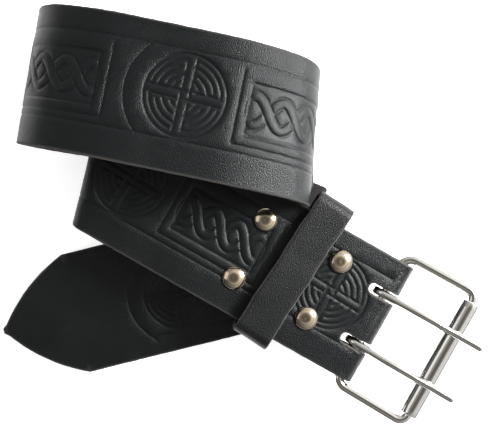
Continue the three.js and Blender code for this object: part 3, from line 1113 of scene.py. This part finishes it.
def leather(name, dark, light, rough, grain_depth):
    g = Graph(bpy.data.materials.new(name))
    flat = g.node("ShaderNodeUVMap", {"uv_map": "flat"}, None, "UV")
    place = g.node("ShaderNodeTexCoord", None, None, "Object")
    pressed, edge = g.attribute("pressed"), g.attribute("edge")
    flesh, worn = g.attribute("flesh"), g.attribute("crease")
    pebble = g.node(
        "ShaderNodeTexVoronoi",
        {"voronoi_dimensions": "2D", "feature": "SMOOTH_F1"},
        {"Vector": flat, "Scale": pebbles_per_metre, "Randomness": 0.9, "Smoothness": 0.35},
        "Distance",
    )
    fine = g.noise(flat, fine_grain_scale, 2.0)
    patches = g.noise(flat, patch_scale, 3.0)
    grain = (1 - pebble) * 0.75 + fine * 0.35
    grain = grain * (1 - pressed * 0.3) * (0.65 + patches * 0.7)
    stretch = g.node("ShaderNodeMapping", None, {"Vector": flat, "Scale": (1.0, 0.16, 1.0)})
    wrinkle = g.noise(stretch, wrinkle_scale, 3.0, 0.6)
    grain = grain + worn * wrinkle * 1.3
    fibre = g.noise(place, fibre_scale, 4.0, 0.7)
    raw = (edge + flesh).clamp()
    height = grain * (1 - raw) + fibre * raw * 1.2
    bump = g.node(
        "ShaderNodeBump", None, {"Height": height, "Strength": 1.0, "Distance": grain_depth}, "Normal"
    )
    face = g.mix(patches, dark, light)
    # The cut edges are painted lighter than the face: partly the colour of raw fibres, partly a painted
    # highlight along every edge.
    edge_fibre_and_highlight = g.mix(fibre, colour(0.016, 0.015, 0.014), colour(0.12, 0.115, 0.105))
    back_colour = g.mix(fibre, colour(0.004, 0.004, 0.004), colour(0.02, 0.019, 0.018))
    shown = g.mix(edge, face, edge_fibre_and_highlight)
    shown = g.mix(flesh, shown, back_colour)
    gloss = rough + (patches - 0.5) * 0.16 + pressed * 0.03 - worn * 0.07
    gloss = gloss * (1 - raw) + raw * 0.85
    return g.finish(
        Base_Color=shown, Roughness=gloss.clamp(), Specular_IOR_Level=leather_specular, Normal=bump
    )


strap_leather = leather(
    "strap_leather", colour(0.0012, 0.0024, 0.0026), colour(0.0034, 0.0046, 0.0052), 0.38, 0.00018
)
# The keeper is the same leather as the strap, but its base colours are lighter: a painted sheen on the
# keeper.
keeper_leather = leather(
    "keeper_leather", colour(0.003, 0.0034, 0.0036), colour(0.006, 0.0066, 0.0068), 0.42, 0.00018
)
strap.data.materials.append(strap_leather)
keeper.data.materials.append(keeper_leather)

# %% [markdown]
# ## Nickel
# The buckle is polished nickel plate. It is a metal with a low roughness that varies a little, as
# fingers and rubbing leave it, and a faint ripple that bends its reflections.

# %% Nickel materials
cloud_scale = 90.0
rub_scale = 1400.0
ripple_scale = 260.0
ripple_depth = 0.00012
ripple_strength = 0.35


def plated(name, base, tint, rough):
    g = Graph(bpy.data.materials.new(name))
    place = g.node("ShaderNodeTexCoord", None, None, "Object")
    cloud = g.noise(place, cloud_scale, 3.0)
    rub = g.noise(place, rub_scale, 2.0, 0.7)
    ripple = g.noise(place, ripple_scale, 1.0)
    waves = {"Height": ripple + rub * 0.12, "Strength": ripple_strength, "Distance": ripple_depth}
    bump = g.node("ShaderNodeBump", None, waves, "Normal")
    shown = g.mix(cloud, base, tint)
    gloss = rough + cloud * 0.08 + rub * 0.05
    return g.finish(Base_Color=shown, Metallic=1.0, Roughness=gloss, Normal=bump)


nickel = plated("nickel", colour(0.80, 0.78, 0.75), colour(0.70, 0.69, 0.66), 0.06)
rivet_nickel = plated("rivet_nickel", colour(0.66, 0.56, 0.42), colour(0.52, 0.43, 0.31), 0.10)

# %% [markdown]
# ## Rivets
# The four rivets are the same pressed cap on a shank. One profile is turned into a solid, and a
# Geometry Nodes tree stands a copy on each of four points, a little turned, then makes them real.

# %% Turn a profile into a solid


def lathe(profile, sides):
    """Points and faces of a profile of radius and height turned about the vertical."""
    points, faces, rings = [], [], []
    for radius, height in profile:
        if radius < 1e-6:
            rings.append([len(points)])
            points.append((0.0, 0.0, height))
            continue
        rings.append(list(range(len(points), len(points) + sides)))
        for i in range(sides):
            a = 2 * math.pi * i / sides
            points.append((radius * math.cos(a), radius * math.sin(a), height))
    for low, high in zip(rings, rings[1:]):
        for i in range(sides):
            j = (i + 1) % sides
            face = [low[i % len(low)], low[j % len(low)], high[j % len(high)], high[i % len(high)]]
            face = list(dict.fromkeys(face))
            if len(face) > 2:
                faces.append(face)
    return points, faces


rivet_radius = 5.1
rivet_dome = 1.9
rivet_shank = 2.0
rivet_back_radius = 4.2
rivet_back_height = 0.9
cap_low = strap_top + 0.05
back_top = strap_top - 2 * strap_thickness - layer_gap - 0.05
cap_top = strap_top + layer_gap + rivet_dome
profile = [
    (0, back_top - rivet_back_height),
    (rivet_back_radius * 0.5, back_top - rivet_back_height),
    (rivet_back_radius * 0.82, back_top - rivet_back_height * 0.9),
    (rivet_back_radius * 0.96, back_top - rivet_back_height * 0.6),
    (rivet_back_radius, back_top - rivet_back_height * 0.25),
    (rivet_back_radius * 0.95, back_top),
    (rivet_shank, back_top),
    (rivet_shank, cap_low),
    (rivet_radius * 0.9, cap_low),
    (rivet_radius * 0.985, cap_low + 0.1),
    (rivet_radius, cap_low + 0.35),
    (rivet_radius * 0.985, cap_low + 0.6),
]
crown_low = cap_low + 0.75
for i in range(1, 15):
    share = 1 - i / 14
    dimple = 0.1 * math.exp(-((share / 0.17) ** 2))
    crown = (cap_top - crown_low) * (1 - share ** 2.6)
    profile.append((rivet_radius * 0.96 * share, crown_low + crown - dimple))
rivet_points, rivet_faces = lathe(profile, 48)
rivet_shape = mesh_object("rivet_shape", rivet_points, rivet_faces)

# %% Stand a rivet on each point with Geometry Nodes


class Nodes:
    """A Geometry Nodes tree with named inputs and one geometry output."""

    def __init__(self, name, inputs):
        self.tree = bpy.data.node_groups.new(name, "GeometryNodeTree")
        face = self.tree.interface
        face.new_socket("Geometry", in_out="INPUT", socket_type="NodeSocketGeometry")
        self.sockets = {}
        for label, kind in inputs.items():
            self.sockets[label] = face.new_socket(label, in_out="INPUT", socket_type=kind)
        face.new_socket("Geometry", in_out="OUTPUT", socket_type="NodeSocketGeometry")
        self.start = self.tree.nodes.new("NodeGroupInput")
        self.end = self.tree.nodes.new("NodeGroupOutput")

    def input(self, label):
        return self.start.outputs[label]

    def node(self, kind, settings=None, inputs=None):
        made = self.tree.nodes.new(kind)
        for key, value in (settings or {}).items():
            setattr(made, key, value)
        for key, value in (inputs or {}).items():
            if isinstance(value, bpy.types.NodeSocket):
                self.tree.links.new(value, made.inputs[key])
            else:
                made.inputs[key].default_value = value
        return made

    def close(self, geometry):
        real = self.node("GeometryNodeRealizeInstances", None, {"Geometry": geometry})
        smooth = self.node(
            "GeometryNodeSetShadeSmooth", None, {"Geometry": real.outputs[0], "Shade Smooth": True}
        )
        paint = {"Geometry": smooth.outputs[0], "Material": self.input("Material")}
        done = self.node("GeometryNodeSetMaterial", None, paint)
        self.tree.links.new(done.outputs[0], self.end.inputs["Geometry"])


def grow(name, seed_object, nodes, values):
    """The plain mesh that a tree makes on seed_object, as a new object at the origin."""
    modifier = seed_object.modifiers.new("grow", "NODES")
    modifier.node_group = nodes.tree
    for label, value in values.items():
        modifier[nodes.sockets[label].identifier] = value
    view = bpy.context.evaluated_depsgraph_get()
    mesh = bpy.data.meshes.new_from_object(seed_object.evaluated_get(view), depsgraph=view)
    seed_object.modifiers.clear()
    bpy.data.objects.remove(seed_object)
    piece = bpy.data.objects.new(name, mesh)
    bpy.context.scene.collection.objects.link(piece)
    print(name, "has", len(mesh.vertices), "vertices")
    return piece


stand = Nodes("stand_copies", {
    "Shape": "NodeSocketObject", "Seed": "NodeSocketInt", "Material": "NodeSocketMaterial",
})
shape_info = stand.node("GeometryNodeObjectInfo", None, {"Object": stand.input("Shape")})
spin = stand.node(
    "FunctionNodeRandomValue", {"data_type": "FLOAT_VECTOR"},
    {0: (-0.02, -0.02, 0.0), 1: (0.02, 0.02, 6.28), "Seed": stand.input("Seed")},
)
copies = stand.node("GeometryNodeInstanceOnPoints", None, {
    "Points": stand.input("Geometry"),
    "Instance": shape_info.outputs["Geometry"],
    "Rotation": spin.outputs[0],
})
stand.close(copies.outputs[0])

rivet_places = [
    (bar_centre[0] - x, bar_centre[1] + rivet_offset + side * rivet_spacing / 2, 0.0)
    for x in rivet_rows for side in (1, -1)
]
cloud = mesh_object("rivet_points", rivet_places, [])
rivets = grow("belt_rivets", cloud, stand, {"Shape": rivet_shape, "Seed": 4, "Material": rivet_nickel})
bpy.data.objects.remove(rivet_shape)

# %% [markdown]
# ## Buckle wires
# The frame and the prongs are bent wire, so one tree serves them all: a curve and a round profile,
# with the wire's thickness taken from each point of the curve. Their paths are in the buckle's own
# plane, which stands on the bar and tilts up towards the roller.

# %% The buckle's plane
bar_radius = 2.1
frame_side_room = 3.5
frame_depth = 33.6
frame_tilt = 10
near_corner = 5
far_corner = 4
roller_radius = 4.3
frame_half = half_width + frame_side_room
tilt = math.radians(frame_tilt)


def buckle_points(points):
    """Points in the part's frame from rows of x, y and z in the buckle's plane."""
    p = np.asarray(points, float)
    x = p[:, 0] * math.cos(tilt) - p[:, 2] * math.sin(tilt)
    z = p[:, 0] * math.sin(tilt) + p[:, 2] * math.cos(tilt)
    return np.column_stack([x, p[:, 1], z]) + bar_centre


wire = Nodes("bent_wire", {
    "Radius": "NodeSocketFloat", "Sides": "NodeSocketInt",
    "Caps": "NodeSocketBool", "Material": "NodeSocketMaterial",
})
profile_circle = wire.node(
    "GeometryNodeCurvePrimitiveCircle", {"mode": "RADIUS"},
    {"Resolution": wire.input("Sides"), "Radius": wire.input("Radius")},
)
thickness = wire.node("GeometryNodeInputRadius")
tube = wire.node("GeometryNodeCurveToMesh", None, {
    "Curve": wire.input("Geometry"),
    "Profile Curve": profile_circle.outputs[0],
    "Fill Caps": wire.input("Caps"),
})
if "Scale" in tube.inputs:
    wire.tree.links.new(thickness.outputs[0], tube.inputs["Scale"])
wire.close(tube.outputs[0])


def wire_piece(name, points, radius, closed, taper=None, sides=28):
    """A bent wire along points in millimetres. taper gives each point's share of the radius."""
    curve = bpy.data.curves.new(name, "CURVE")
    curve.dimensions = "3D"
    curve.twist_mode = "MINIMUM"
    spline = curve.splines.new("POLY")
    spline.points.add(len(points) - 1)
    rows = np.column_stack([np.asarray(points) * MM, np.ones(len(points))])
    spline.points.foreach_set("co", rows.astype(np.float32).ravel())
    shares = np.ones(len(points)) if taper is None else np.asarray(taper)
    spline.points.foreach_set("radius", shares.astype(np.float32))
    spline.use_cyclic_u = closed
    seed = bpy.data.objects.new(name + "_path", curve)
    bpy.context.scene.collection.objects.link(seed)
    values = {"Radius": radius * MM, "Sides": sides, "Caps": not closed, "Material": nickel}
    return grow(name, seed, wire, values)


def frame_path():
    corners = [
        (near_corner, -1, near_corner, 180),
        (frame_depth - far_corner, -1, far_corner, 270),
        (frame_depth - far_corner, 1, far_corner, 0),
        (near_corner, 1, near_corner, 90),
    ]
    points = []
    for x, side, radius, start in corners:
        for i in range(17):
            a = math.radians(start + 90 * i / 16)
            y = side * (frame_half - radius) + radius * math.sin(a)
            points.append((x + radius * math.cos(a), y, 0))
    return np.array(points)


buckle_frame = wire_piece("buckle_wire_frame", buckle_points(frame_path()), bar_radius, True)

# %% [markdown]
# A prong is the same wire: an eye bent round the bar, an arch over the turned end of the strap, and
# a straight run that rests on the roller and ends in a rounded tip.

# %% Prongs
prong_radius = 1.65
prong_length = 46
prong_arch = 1.6
prong_eye_clearance = 0.35
prong_seat_gap = 0.3
prong_eye_start = -35
prong_tip_share = 0.8
prong_tip_flat = 0.12


def smooth_curve(points, count):
    """A curve through points, with tangents from each point's neighbours."""
    p = np.array(points, float)
    p = np.vstack([2 * p[0] - p[1], p, 2 * p[-1] - p[-2]])
    out = []
    spans = len(p) - 3
    for t in np.linspace(0, spans, count + 1):
        i = min(int(t), spans - 1)
        u = t - i
        a, b, c, d = p[i:i + 4]
        m, n = (c - a) / 2, (d - b) / 2
        near = (2 * u**3 - 3 * u**2 + 1) * b + (u**3 - 2 * u**2 + u) * m
        out.append(near + (3 * u**2 - 2 * u**3) * c + (u**3 - u**2) * n)
    return np.array(out)


def prong_path(y):
    eye = bar_radius + prong_eye_clearance + prong_radius
    seat = roller_radius + prong_radius + prong_seat_gap
    sweep = 270 + prong_eye_start
    ring = [
        (eye * math.cos(a), y, eye * math.sin(a))
        for a in np.radians(prong_eye_start - sweep * np.arange(41) / 40)
    ]
    shank = smooth_curve([
        (0, y, eye),
        (frame_depth * 0.2, y, eye + prong_arch * 0.85),
        (frame_depth * 0.45, y, (eye + seat) / 2 + prong_arch),
        (frame_depth * 0.75, y, seat + prong_arch * 0.25),
        (frame_depth, y, seat),
        (prong_length - 0.02, y, seat),
    ], 60)
    return np.vstack([ring, shank[1:]])


def prong_taper(points):
    """Rounded ends: the wire's share of its radius falls along a quarter circle."""
    runs = np.concatenate([[0], np.cumsum(np.linalg.norm(np.diff(points, axis=0), axis=1))])
    ends = np.minimum(runs, runs[-1] - runs)
    reach = np.clip(ends / (prong_radius * prong_tip_share), 0, 1)
    return np.maximum(np.sqrt(1 - (1 - reach) ** 2), prong_tip_flat)


def end_rounded(points, steps=7):
    """Extra points close to both ends, so that the rounding shows."""
    extra = prong_radius * prong_tip_share * (1 - np.cos(np.linspace(0, math.pi / 2, steps)))
    first, last = points[0], points[-1]
    start_dir = (points[1] - first) / np.linalg.norm(points[1] - first)
    end_dir = (points[-2] - last) / np.linalg.norm(points[-2] - last)
    near_start = np.linalg.norm(points - first, axis=1) > extra[-1] + 0.05
    near_end = np.linalg.norm(points - last, axis=1) > extra[-1] + 0.05
    middle = points[near_start & near_end]
    return np.vstack([first + extra[:, None] * start_dir, middle, (last + extra[:, None] * end_dir)[::-1]])


prongs = []
for i, side in enumerate((1, -1)):
    path = end_rounded(prong_path(side * prong_spacing / 2))
    taper = prong_taper(path)
    prongs.append(wire_piece(f"buckle_prong_{i + 1}", buckle_points(path), prong_radius, False, taper, 24))

# %% [markdown]
# ## Roller
# The roller is sheet metal rolled into a tube, so it has a fine seam along it and rounded ends. A
# section of the sheet is turned almost all the way round, and the two lips of the seam dip inwards.

# %% Rolled tube
roller_wall = 1.3
roller_end_gap = 0.3
roller_half = frame_half - far_corner - roller_end_gap
seam_turn = -100
seam_gap = 2.2
seam_dip = 0.14
seam_dip_width = 0.5
end_round = 0.55
end_bevel = 0.16
bore_round = 0.25
bore_lip = 0.3


def roller_mesh():
    half, outer_r, inner_r = roller_half, roller_radius, roller_radius - roller_wall
    near_end = [
        (inner_r, -half + bore_round), (inner_r + bore_lip, -half), (outer_r - end_round, -half),
        (outer_r - end_bevel, -half + end_bevel), (outer_r, -half + end_round),
    ]
    section = near_end + [(outer_r, y) for y in np.linspace(-half + 3, half - 3, 12)]
    section += [(r, -y) for r, y in near_end[::-1]]
    points, faces = [], []
    steps, sides = 72, len(section)
    gap = math.radians(seam_gap)
    for i in range(steps + 1):
        t = i / steps
        a = math.radians(seam_turn) + gap / 2 + (2 * math.pi - gap) * t
        lip = min(t, 1 - t) * (2 * math.pi - gap) * outer_r
        dip = seam_dip * max(0.0, 1 - lip / seam_dip_width) ** 2
        for r, y in section:
            rr = r - dip if r > inner_r + 0.4 else r
            points.append((rr * math.cos(a) + frame_depth, y, rr * math.sin(a)))
    for i in range(steps):
        for k in range(sides):
            m = (k + 1) % sides
            faces.append((i * sides + k, (i + 1) * sides + k, (i + 1) * sides + m, i * sides + m))
    faces.append(tuple(range(sides)))
    faces.append(tuple(steps * sides + k for k in range(sides))[::-1])
    return points, faces


roller_points, roller_faces = roller_mesh()
roller = mesh_object("buckle_roller", buckle_points(roller_points), roller_faces)
roller.data.materials.append(nickel)


def volume(mesh):
    """Signed volume in cubic millimetres: it is negative when a closed mesh is inside out."""
    mesh.calc_loop_triangles()
    co = np.array([v.co for v in mesh.vertices]) / MM
    tri = np.array([t.vertices for t in mesh.loop_triangles])
    a, b, c = co[tri[:, 0]], co[tri[:, 1]], co[tri[:, 2]]
    return float(np.einsum("ij,ij->i", a, np.cross(b, c)).sum() / 6)


pieces = [strap, keeper, rivets, buckle_frame, roller, *prongs]
for piece in pieces:
    if volume(piece.data) < 0:
        piece.data.flip_normals()
    triangle_count = len(piece.data.loop_triangles)
    print(piece.name, "triangles", triangle_count, "volume", round(volume(piece.data)), "mm3")
for piece in (buckle_frame, roller, *prongs):
    piece.data.set_sharp_from_angle(angle=math.radians(50))

# %% [markdown]
# ## What moves with what
# Every piece rides on a body of the part, names its material slot, and stands for CAD nodes.

# %% Bodies, slots and the solids replaced
jobs = [
    (strap, "belt", "strap_leather", ["strap", "strap_flap", "strap_band_1", "strap_band_2", "strap_band_3"]),
    (keeper, "belt", "keeper_leather", ["keeper"]),
    (rivets, "belt", "rivet_nickel", ["rivet_1", "rivet_2", "rivet_3", "rivet_4"]),
    (buckle_frame, "frame", "nickel", ["buckle_frame"]),
    (roller, "roller", "nickel", ["roller"]),
    (prongs[0], "prong_far", "nickel", ["prong_1"]),
    (prongs[1], "prong_near", "nickel", ["prong_2"]),
]
for piece, body, slot_name, nodes in jobs:
    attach(piece, body)
    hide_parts(*nodes)

# %% [markdown]
# ## Light and floor
# The photograph is a cut-out on white with hardly a shadow, lit softly from the upper right. A pale
# floor that glows a little and two soft lamps give that. The world is a room that is dark overhead
# and bright towards the window. Black leather mirrors the dark ceiling, so it stays black, and the
# nickel gets its bright and dark stripes.

# %% Floor and lamps
window_focus = 1.4
room_glow = 0.08


def panel(name, centre, size, turn, material):
    """A flat card, turned about its centre."""
    half_x, half_y = size[0] / 2, size[1] / 2
    mesh = bpy.data.meshes.new(name)
    corners = [(-half_x, -half_y, 0), (half_x, -half_y, 0), (half_x, half_y, 0), (-half_x, half_y, 0)]
    mesh.from_pydata(corners, [], [(0, 1, 2, 3)])
    card = bpy.data.objects.new(name, mesh)
    card.location = centre
    card.rotation_euler = turn
    mesh.materials.append(material)
    bpy.context.scene.collection.objects.link(card)
    card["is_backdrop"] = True


def plain(name, base, rough, glow=0.0):
    g = Graph(bpy.data.materials.new(name))
    return g.finish(
        Base_Color=base, Roughness=rough, Emission_Color=colour(1, 1, 1), Emission_Strength=glow
    )


floor_paint = plain("floor_paint", colour(0.93, 0.93, 0.93), 0.9, 0.74)
panel("floor", (0, 0, 0), (6, 6), (0, 0, 0), floor_paint)


def lamp(name, place, target, size, watts):
    data = bpy.data.lights.new(name, "AREA")
    data.shape = "RECTANGLE"
    data.size, data.size_y = size
    data.energy = watts
    light = bpy.data.objects.new(name, data)
    light.location = place
    aim = Vector(target) - Vector(place)
    light.rotation_euler = aim.to_track_quat("-Z", "Y").to_euler()
    bpy.context.scene.collection.objects.link(light)


def room(name, window_side, stops, strength):
    """A world whose light goes from overhead to the skyline, brightest on the window's side."""
    g = Graph(bpy.data.worlds.new(name))
    towards = g.node("ShaderNodeTexCoord", None, None, "Generated")
    along = {0: towards, 1: window_side}
    beside = g.node("ShaderNodeVectorMath", {"operation": "DOT_PRODUCT"}, along, "Value")
    up = g.node("ShaderNodeSeparateXYZ", None, {"Vector": towards}, "Z")
    shade = g.node("ShaderNodeValToRGB", {"stops": stops}, {"Fac": (1 - up).clamp()}, "Color")
    power = (beside * 0.5 + 0.5) ** window_focus * strength
    sky = g.node("ShaderNodeBackground", None, {"Color": shade, "Strength": power + room_glow}, "Background")
    out = g.tree.nodes.new("ShaderNodeOutputWorld")
    g.tree.links.new(sky.socket, out.inputs["Surface"])
    return g.owner


overhead_to_skyline = [
    (0.0, colour(0.17, 0.165, 0.16)),
    (0.05, colour(0.34, 0.32, 0.30)),
    (0.15, colour(1.0, 0.97, 0.90)),
    (0.32, colour(0.55, 0.55, 0.56)),
    (0.45, colour(1.0, 1.0, 1.0)),
    (0.66, colour(0.22, 0.24, 0.27)),
    (0.9, colour(0.85, 0.86, 0.88)),
]
lamp("window", (0.27, 0.31, 0.34), (0, 0.02, 0.03), (0.2, 0.16), 7.2)
lamp("fill", (-0.75, -0.25, 0.7), (0, 0, 0.02), (0.7, 0.5), 1)
bpy.context.scene.world = room("studio", (0.6, 0.8, 0.0), overhead_to_skyline, 1.7)
bpy.context.scene.view_settings.view_transform = "Standard"

# %% Print both boxes and finish
shown_low, shown_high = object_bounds()
sizes = {
    "cad": [list(cad_low), list(cad_high)],
    "visual": [list(shown_low), list(shown_high)],
}
for name, (low, high) in sizes.items():
    print(name, [round(x, 4) for x in low], [round(x, 4) for x in high])
